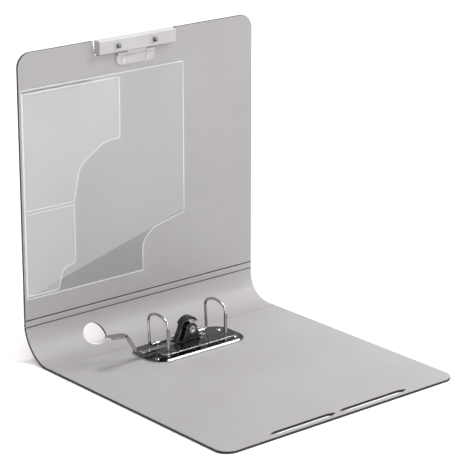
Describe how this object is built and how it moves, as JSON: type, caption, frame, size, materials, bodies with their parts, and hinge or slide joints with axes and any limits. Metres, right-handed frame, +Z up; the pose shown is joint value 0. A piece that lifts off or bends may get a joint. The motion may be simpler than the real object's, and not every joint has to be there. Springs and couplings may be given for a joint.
{
  "type": "lever arch file",
  "caption": "A4 lever arch file standing open, with a curved spine, a filing mechanism, inside pockets and a closing clip.",
  "frame": {"origin": "centre of the back cover's outer face", "axes": "+X along the spine towards its top end, +Y towards the spine, +Z up out of the back cover"},
  "size_m": [0.318, 0.3388, 0.3381],
  "materials": {
    "cover_plastic": "satin, with a fine brushed grain",
    "lining_plastic": "matte",
    "clear_film": "clear, glossy",
    "label_paper": "matte",
    "clip_plastic": "satin",
    "hook_plastic": "satin",
    "nickel_steel": "bright nickel",
    "dark_steel": "dark nickel",
    "black_plastic": "satin",
    "spring_steel": "bright"
  },
  "bodies": {
    "back": {"back_cover": "cover_plastic", "back_lining": "lining_plastic", "base_plate": "nickel_steel", "plate_rivets": "nickel_steel", "post_bottom_end": "nickel_steel", "post_top_end": "nickel_steel", "shaft_saddles": "nickel_steel", "arch_spring": "spring_steel", "lever_bracket": "nickel_steel", "lever_pin": "nickel_steel"},
    "spine": {"spine": "cover_plastic", "spine_lining": "lining_plastic", "back_hinge_strip": "cover_plastic", "back_strip_lining": "lining_plastic", "front_hinge_strip": "cover_plastic", "front_strip_lining": "lining_plastic", "label_pocket": "clear_film"},
    "label": {"label_card": "label_paper"},
    "front": {"front_cover": "cover_plastic", "front_lining": "lining_plastic", "document_pocket": "clear_film", "card_pocket_upper": "clear_film", "card_pocket_lower": "clear_film", "clip_tab": "clip_plastic", "clip_pin": "nickel_steel", "clip_rivets": "nickel_steel"},
    "clip": {"clip_bar": "clip_plastic", "clip_hooks": "hook_plastic"},
    "arches": {"arch_wire": "nickel_steel"},
    "lever_arm": {"lever": "dark_steel", "lever_cap": "black_plastic"},
    "press": {"press_bar": "nickel_steel"}
  },
  "joints": [
    {"name": "back_hinge", "type": "hinge", "parent": "back", "child": "spine", "pos_m": [0, 0.15075, 0.0015], "axis": [1, 0, 0], "range_deg": [-1, 49.36]},
    {"name": "front_hinge", "type": "hinge", "parent": "spine", "child": "front", "pos_m": [0, 0.19007, 0.04083], "axis": [1, 0, 0], "range_deg": [-95.2, 49.36]},
    {"name": "lever_pivot", "type": "hinge", "parent": "back", "child": "lever_arm", "pos_m": [0, 0.1095, 0.023], "axis": [0, -1, 0], "range_deg": [-95, 0]},
    {"name": "arch_pivot", "type": "hinge", "parent": "back", "child": "arches", "pos_m": [0, 0.1255, 0.00735], "axis": [1, 0, 0], "range_deg": [-78.1, 0]},
    {"name": "press_slide", "type": "slide", "parent": "back", "child": "press", "axis": [0, 0, -1], "range_m": [-0.022, 0]},
    {"name": "clip_pivot", "type": "hinge", "parent": "front", "child": "clip", "pos_m": [-0.007, 0.18638, 0.31957], "axis": [1, 0, 0], "range_deg": [-8, 0], "stiffness_Nm_per_rad": 0.6},
    {"name": "label_slide", "type": "slide", "parent": "spine", "child": "label", "axis": [-1, 0, 0], "range_m": [-0.09, 0]}
  ],
  "couplings": [
    {"joint": "arch_pivot", "follows": "lever_pivot", "ratio": 0.82105}
  ]
}
